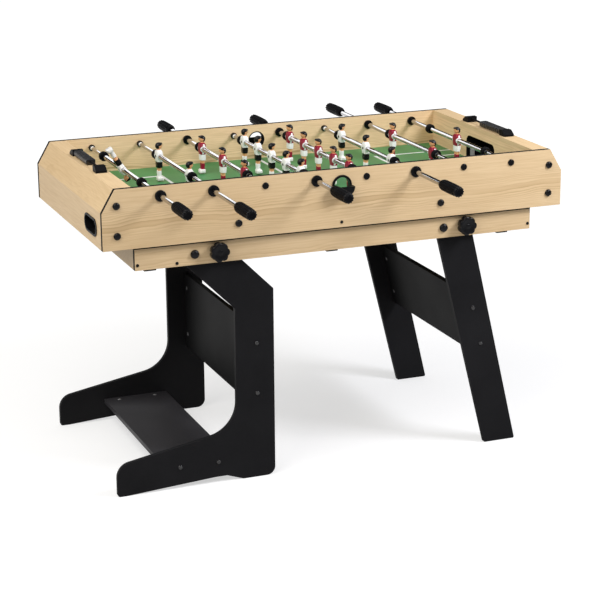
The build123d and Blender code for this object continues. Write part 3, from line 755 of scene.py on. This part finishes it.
def is_hair(way):
    """Hair covers the crown, slants down past the ears and reaches the collar at the back."""
    if way.z > HAIRLINE + HAIRLINE_SLANT * way.x:
        return True
    return way.x < NAPE_BACK and way.z > NAPE_LOW


def hump(way, rise, width, level, spread):
    """A soft rise in the middle of the face at a level."""
    return rise * math.exp(-((way.y / width) ** 2) - ((way.z - level) / spread) ** 2)


def head_swell(way):
    """The hair stands proud with a tuft over the brow, and the face has a soft nose and chin."""
    if is_hair(way):
        tuft = TUFT_RISE * math.exp(-(((way.z - TUFT_LEVEL) / TUFT_SPREAD) ** 2))
        return HAIR_SWELL + tuft * clamped((way.x - TUFT_FROM) / TUFT_RUN)
    if way.x < 0:
        return FACE_SWELL
    return FACE_SWELL + hump(way, **NOSE) + hump(way, **CHIN)


def beside_head(place_on_head, side):
    """A place on the right or left of the head."""
    x, y, z = place_on_head
    return HEAD + Vector((x, side * y, z))


def man_mesh(name, shirt, shorts, socks):
    """A man that faces +X, with the rod's axis through the origin along Y."""
    shell = Shell()
    shell.loft(body_rings(), BODY_SLOTS)
    for side in (-1, 1):
        shell.loft(arm_rings(side), SLEEVE)
    shell.drop(lambda middle: math.hypot(middle.x, middle.z) < BORE)
    for side in (-1, 1):
        shell.loft(ball_rings(beside_head(EAR_AT, side), EAR_RADII, EAR_STEPS), SKIN)
        shell.loft(ball_rings(beside_head(EYE_AT, side), EYE_RADII, EYE_STEPS), HAIR)
        shell.loft(boss_rings(side), SLEEVE, ends=False)
    first = len(shell.faces)
    shell.loft(ball_rings(HEAD, HEAD_RADII, HEAD_STEPS, head_swell), SKIN)
    for index in range(first, len(shell.faces)):
        middle = shell.middle(shell.faces[index]) - HEAD
        way = Vector([m / r for m, r in zip(middle, HEAD_RADII)])
        if is_hair(way.normalized()):
            shell.slots[index] = HAIR
    outfit = (shirt, shorts, "skin", "black", socks, "boot", "white")
    return shell.mesh(name, [paints[color] for color in outfit], sharp=50.0)


teams = {
    1: ("white_men", man_mesh("man_white", "white", "black", "white")),
    -1: ("maroon_men", man_mesh("man_maroon", "maroon", "white", "maroon")),
}
WHITE_RODS = (1, 2, 4, 6)
KEEPER_ROD = 1
KEEPER_TURN = math.radians(150)

for k in RODS:
    facing = 1 if k in WHITE_RODS else -1
    slot, mesh = teams[facing]
    for number, (low, high) in enumerate(spans(f"rod_{k}_men"), 1):
        matrix = on_rod(k, (low + high) / 2)
        if k == KEEPER_ROD:
            matrix = matrix @ Matrix.Rotation(KEEPER_TURN, 4, "Y")
        if facing < 0:
            matrix = matrix @ Matrix.Rotation(math.pi, 4, "Z")
        place(mesh, f"man_{k}_{number}", matrix, f"rod_{k}_slider", slot, f"rod_{k}_men")


# Grips with lengthwise flutes and rings of grooves, as height and radius, and bumpers

GRIP_FRONT = [
    (0.0, 8.0), (0.0, 9.2), (0.6, 9.9), (2.0, 10.4), (5.0, 11.4), (8.0, 12.3), (11.0, 13.1), (13.0, 13.45),
    (16.0, 13.65),
]
GRIP_END = [
    (89.0, 13.45), (91.5, 13.3), (93.4, 12.6), (94.9, 11.4), (95.7, 10.0), (96.0, 8.6), (95.6, 7.4),
    (95.2, 6.6), (95.1, 4.0), (95.3, 1.6), (95.4, 0.2),
]
GRIP_AT_LEAST = 0.8 * max(z for z, _ in GRIP_END)
BELLY_RADIUS, BELLY_DROP = 14.0, 0.35
BELLY_MIDDLE, BELLY_HALF = 48.0, 32.0
GROOVE_FROM, GROOVE_TO = 18.0, 81.0
GROOVE_PITCH, GROOVE_DEPTH, GROOVE_STEPS = 7.0, 0.9, 6
FLUTES, FLUTE_STEPS, FLUTE_DEPTH = 12, 12, 1.2
FLUTE_FROM, FLUTE_RUN = 12.0, 7.0
FLUTE_INNER, FLUTE_SHARE = 9.5, 0.62

# A bumper's outline as radius and height
BUMPER_LOOP = [
    (6.4, -7.0), (9.6, -7.0), (11.2, -6.5), (12.2, -5.4), (12.5, -4.0), (12.5, -1.6), (12.0, -1.0),
    (12.0, 1.0), (12.5, 1.6), (12.5, 4.0), (12.2, 5.4), (11.2, 6.5), (9.6, 7.0), (6.4, 7.0),
]
BUMPER_STEPS = 40


def grip_rows():
    """The grip's profile with rings of grooves cut into its middle."""
    rows = list(GRIP_FRONT)
    steps = round((GROOVE_TO - GROOVE_FROM) / GROOVE_PITCH) * GROOVE_STEPS
    for step in range(1, steps):
        z = GROOVE_FROM + (GROOVE_TO - GROOVE_FROM) * step / steps
        radius = BELLY_RADIUS - BELLY_DROP * ((z - BELLY_MIDDLE) / BELLY_HALF) ** 2
        cut = max(0.0, math.cos(math.tau * step / GROOVE_STEPS))
        rows.append((z, radius - GROOVE_DEPTH * cut))
    return rows + GRIP_END


def grip_mesh():
    """A grip from the origin along +Z, with its flutes faded in and a smoother end."""
    rings = []
    count = FLUTES * FLUTE_STEPS
    for z, radius in grip_rows():
        fade = clamped((z - FLUTE_FROM) / FLUTE_RUN) if radius > FLUTE_INNER else 0.0
        ring = []
        for i in range(count):
            across = abs((i % FLUTE_STEPS) / FLUTE_STEPS - 0.5) * 2
            dip = FLUTE_DEPTH * fade * max(0.0, 1 - (across / FLUTE_SHARE) ** 2) ** 0.5
            ring.append(polar(radius - dip, math.tau * i / count, z))
        rings.append(ring)
    end_gaps = len(GRIP_END) - 1
    slots = [0] * (len(rings) - 1 - end_gaps) + [1] * end_gaps
    shell = Shell()
    shell.loft(rings, slots)
    return shell.mesh("grip", [grip_body, grip_cap], sharp=34.0)


def bumper_mesh():
    shell = Shell()
    lathe(shell, BUMPER_LOOP, BUMPER_STEPS, closed=True)
    return shell.mesh("bumper", [black_rubber], sharp=38.0)


grip = grip_mesh()
bumper = bumper_mesh()
for k in RODS:
    node = f"rod_{k}_grip_and_bumpers"
    body = f"rod_{k}_slider"
    number = 0
    for low, high in spans(node):
        if high - low > GRIP_AT_LEAST:
            side = 1 if low > 0 else -1
            matrix = on_rod(k, low if side > 0 else high) @ along_y(side)
            place(grip, f"grip_{k}", matrix, body, "black_rubber", node)
        else:
            number += 1
            matrix = on_rod(k, (low + high) / 2) @ along_y(-1)
            place(bumper, f"bumper_{k}_{number}", matrix, body, "black_rubber", node)


# Star knobs, as height, share of the radius, share of the lobes, and their hubs as radius and height

KNOB_PROFILE = [
    (0.0, 0.60, 0.0), (0.0, 0.90, 1.0), (0.7, 0.96, 1.0), (2.2, 1.0, 1.0), (15.0, 1.0, 1.0),
    (16.8, 0.97, 1.0), (17.7, 0.91, 1.0), (18.0, 0.83, 0.9), (17.8, 0.72, 0.6), (16.9, 0.58, 0.2),
    (16.5, 0.50, 0.0), (16.5, 0.28, 0.0), (17.1, 0.25, 0.0), (17.4, 0.18, 0.0), (17.5, 0.01, 0.0),
]
KNOB_HUB = [(4.0, -20.2), (4.0, -8.0), (10.0, -8.0), (11.0, -7.2), (11.0, 0.0)]
KNOB_RADIUS, KNOB_VALLEY, KNOB_DEEP = 24.3, 20.3, 18.0
KNOB_LOBES, LOBE_STEPS, LOBE_POWER = 7, 16, 0.62
HUB_STEPS = 40


def knob_mesh():
    """A star knob along +Z, with its hub and thread below the origin."""
    rings = []
    count = KNOB_LOBES * LOBE_STEPS
    mean = (KNOB_RADIUS + KNOB_VALLEY) / 2
    for z, scale, lobed in KNOB_PROFILE:
        ring = []
        for i in range(count):
            a = math.tau * i / count
            lobe = abs(math.cos(KNOB_LOBES * a / 2)) ** LOBE_POWER
            star = KNOB_VALLEY + (KNOB_RADIUS - KNOB_VALLEY) * lobe
            ring.append(polar((star * lobed + mean * (1 - lobed)) * scale, a, z))
        rings.append(ring)
    shell = Shell()
    shell.loft(rings, 0)
    lathe(shell, KNOB_HUB, HUB_STEPS)
    return shell.mesh("star_knob", [black_knob], sharp=36.0)


knob = knob_mesh()
for where in ("stand", "leg"):
    for end, side in (("front", -1), ("back", 1)):
        body = f"{where}_knob_{end}"
        low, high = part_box(body)
        x, _, z = joints[f"{body}_turn"]["pos_m"]
        base = (high.y if side > 0 else low.y) - side * KNOB_DEEP * MM
        matrix = Matrix.Translation((x, base, z)) @ along_y(side)
        place(knob, body + "_star", matrix, body, "black_plastic", body)


# Score beads: rounded plates on the wire with soft edges, as height and inset

BEAD_ROWS = [(-5.8, 1.5), (-5.3, 0.5), (-4.3, 0.0), (4.3, 0.0), (5.3, 0.5), (5.8, 1.5)]
BEAD_HALF_X, BEAD_HALF_Z, BEAD_HOLE = 12.0, 7.0, 2.6
BEAD_PITCH = 12.0
BEAD_SQUARENESS, ROUND = 5.0, 2.0


def bead_mesh():
    """A score bead with its hole along Z."""
    rings = []
    for z, inset in BEAD_ROWS:
        rings.append(squared(BEAD_HALF_X - inset, BEAD_HALF_Z - inset, BEAD_SQUARENESS, z))
    low_hole = squared(BEAD_HOLE, BEAD_HOLE, ROUND, BEAD_ROWS[0][0])
    high_hole = squared(BEAD_HOLE, BEAD_HOLE, ROUND, BEAD_ROWS[-1][0])
    shell = Shell()
    shell.loft([low_hole] + rings + [high_hole, low_hole], 0, ends=False)
    return shell.mesh("score_bead", [black_bead], sharp=38.0)


bead = bead_mesh()
for end in ("left", "right"):
    node = f"score_beads_{end}"
    low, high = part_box(node)
    middle = (low + high) / 2
    count = round((high.y - low.y) / (BEAD_PITCH * MM))
    for number in range(count):
        y = low.y + (high.y - low.y) * (number + 0.5) / count
        matrix = Matrix.Translation((middle.x, y, middle.z)) @ along_y(-1)
        place(bead, f"score_bead_{end}_{number + 1}", matrix, node, "black_plastic", node)


# White lines printed on the field, as thin strips. Where strips cross, their tops differ a little in height

_, field_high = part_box("playfield")
FIELD_X, FIELD_Y, FIELD_Z = field_high.x / MM, field_high.y / MM, field_high.z / MM
FIELD_MARGIN = 0.5
LINE_WIDTH = 8.0
LINE_BASE = FIELD_Z + 0.02
LINE_TOP = FIELD_Z + 0.25
CIRCLE_TOP = LINE_TOP - 0.01
SPOT_TOP = LINE_TOP + 0.02
AREA_X, AREA_Y = 305.0, 184.0
GOAL_X, GOAL_Y = 440.0, 123.0
CIRCLE_RADIUS, CIRCLE_STEPS = 92.0, 72
SPOT_RADIUS, SPOT_STEPS = 8.0, 32


def field_lines():
    """The halfway line, the areas at both ends, the centre circle and the centre spot."""
    shell = Shell()

    def strip(x0, x1, y0, y1):
        ring = [(x0, y0), (x1, y0), (x1, y1), (x0, y1)]
        shell.loft([[(x, y, z) for x, y in ring] for z in (LINE_BASE, LINE_TOP)], 0)

    half = LINE_WIDTH / 2
    strip(-half, half, -FIELD_Y + FIELD_MARGIN, FIELD_Y - FIELD_MARGIN)
    for end in (-1, 1):
        for reach, width in ((AREA_X, AREA_Y), (GOAL_X, GOAL_Y)):
            a, b = sorted((end * (reach - half), end * (reach + half)))
            strip(a, b, -width - half, width + half)
            a, b = sorted((end * (reach + half), end * (FIELD_X - FIELD_MARGIN)))
            for side in (-1, 1):
                strip(a, b, side * width - half, side * width + half)
    inner, outer = CIRCLE_RADIUS - half, CIRCLE_RADIUS + half
    loop = [(inner, LINE_BASE), (outer, LINE_BASE), (outer, CIRCLE_TOP), (inner, CIRCLE_TOP)]
    lathe(shell, loop, CIRCLE_STEPS, closed=True)
    lathe(shell, [(SPOT_RADIUS, LINE_BASE), (SPOT_RADIUS, SPOT_TOP)], SPOT_STEPS)
    return shell.mesh("field_lines", [white_line])


place(field_lines(), "field_lines", Matrix(), "cabinet", "green_field")


# Floor

FLOOR_HALF = 30000
FLOOR_DROP = 0.0005
FLOOR_FADE, FLOOR_GLOW_NEAR, FLOOR_GLOW_FAR = 5.0, 0.56, 0.82


def floor_material():
    """A pale floor that glows where it is seen, more so away from the table."""
    g = Graph("studio_floor")
    cloud = g.noise(g.point, 0.6)
    color = g.mix(cloud, *FLOOR_GREY)
    path = g.add("ShaderNodeLightPath").outputs
    x, y, _ = g.parts(g.point)
    mirrored = g.math("MULTIPLY", path["Is Glossy Ray"], g.math("GREATER_THAN", y, 0.0))
    seen = g.math("MAXIMUM", path["Is Camera Ray"], mirrored)
    seen = g.math("MAXIMUM", seen, path["Is Transmission Ray"])
    far = g.math("DIVIDE", g.hypot(x, y), FLOOR_FADE, clamp=True)
    glow = g.ramp(far, (0.10, FLOOR_GLOW_NEAR), (0.85, FLOOR_GLOW_FAR))
    g.put(g.shader, "Emission Color", (1, 1, 1, 1))
    g.put(g.shader, "Emission Strength", g.math("MULTIPLY", seen, glow))
    return g.surface(color, 0.9, specular=0.1)


corners = [(x * FLOOR_HALF, y * FLOOR_HALF, 0) for x, y in ((-1, -1), (1, -1), (1, 1), (-1, 1))]
floor = bpy.data.objects.new("floor", mesh_from("floor", corners, [(0, 1, 2, 3)], [floor_material()]))
floor.location.z = -FLOOR_DROP
scene.collection.objects.link(floor)
floor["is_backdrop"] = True


# Light from all round, and what reflections show instead: a room in front and a dark card behind

WORLD_LIGHT, ROOM_SHARE, CARD_LIGHT = 0.40, 0.30, 0.012
AIM = Vector((0.0, 0.0, 0.5))

# How far the card reaches sideways and upwards for each unit of depth
CARD_SIDE, CARD_RISE = (-0.95, 0.80), (0.0, 0.62)
LEAST_DEPTH = 0.01


class Sky(Graph):
    """The same short calls for a new world."""

    def __init__(self, name):
        self.world = bpy.data.worlds.new(name)
        self.world.use_nodes = True
        self.tree = self.world.node_tree
        self.shader = self.tree.nodes["Background"]
        self.way = self.tree.nodes.new("ShaderNodeTexCoord").outputs["Generated"]


def studio():
    """White where it is seen. Reflections show a dimmer room in front and a dark card behind for the rods."""
    g = Sky("studio")
    path = g.add("ShaderNodeLightPath").outputs
    x, y, z = g.parts(g.way)
    depth = g.math("MAXIMUM", y, LEAST_DEPTH)
    card = g.math("GREATER_THAN", y, 0.0)
    for across, (low, high) in ((x, CARD_SIDE), (z, CARD_RISE)):
        share = g.math("DIVIDE", across, depth)
        card = g.math("MULTIPLY", card, g.math("GREATER_THAN", share, low))
        card = g.math("MULTIPLY", card, g.math("LESS_THAN", share, high))
    room = g.ramp(g.math("ADD", y, 0.5), (0.3, ROOM_SHARE), (0.8, 1.0))
    mirrored = g.blend(card, room, CARD_LIGHT)
    light = g.blend(path["Is Glossy Ray"], WORLD_LIGHT, mirrored)
    light = g.blend(g.math("MAXIMUM", path["Is Camera Ray"], path["Is Transmission Ray"]), light, 1.0)
    g.put(g.shader, "Color", (1, 1, 1, 1))
    g.put(g.shader, "Strength", light)
    return g.world


def softbox(name, direction, distance, width, height, power, tint=(1.0, 1.0, 1.0)):
    """A soft lamp in a direction from the aim, turned towards it."""
    lamp = bpy.data.lights.new(name, "AREA")
    lamp.shape = "RECTANGLE"
    lamp.size = width
    lamp.size_y = height
    lamp.energy = power
    lamp.color = tint
    light = bpy.data.objects.new(name, lamp)
    scene.collection.objects.link(light)
    light.location = AIM + Vector(direction).normalized() * distance
    light.rotation_euler = (AIM - light.location).to_track_quat("-Z", "Y").to_euler()
    return light


scene.world = studio()
softbox("key", (1.10, -1.0, 1.15), distance=2.7, width=0.8, height=0.8, power=47, tint=(0.98, 0.99, 1.06))
softbox("fill", (-1.05, -0.52, 1.30), distance=4.0, width=3.0, height=3.0, power=116, tint=(1.0, 0.975, 0.93))

# A softbox behind the table that lights the chrome alone
glint = softbox("glint", (-0.09, 2.2, 0.89), distance=2.375, width=1.38, height=0.98, power=8.5)
glint.visible_camera = False
shiny = bpy.data.collections.new("shiny")
for node in INNER_RODS + TUBES:
    shiny.objects.link(nodes[node])
glint.light_linking.receiver_collection = shiny


# Camera

CAMERA_AT = Vector((-1.74527, -4.46683, 1.77144))
CAMERA_AIM = Vector((0.00850, 0.0, 0.35921))
CAMERA_LENS = 114.07
CAMERA_ROLL = math.radians(-0.414)
lens = bpy.data.cameras.new("camera")
lens.sensor_width = 36.0
lens.lens = CAMERA_LENS
lens.clip_start = 0.1
lens.clip_end = 100.0
camera = bpy.data.objects.new("camera", lens)
scene.collection.objects.link(camera)
camera.rotation_mode = "QUATERNION"
camera.location = CAMERA_AT
look = (CAMERA_AIM - CAMERA_AT).to_track_quat("-Z", "Y")
camera.rotation_quaternion = look @ Matrix.Rotation(CAMERA_ROLL, 3, "Z").to_quaternion()
scene.camera = camera

low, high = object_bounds()
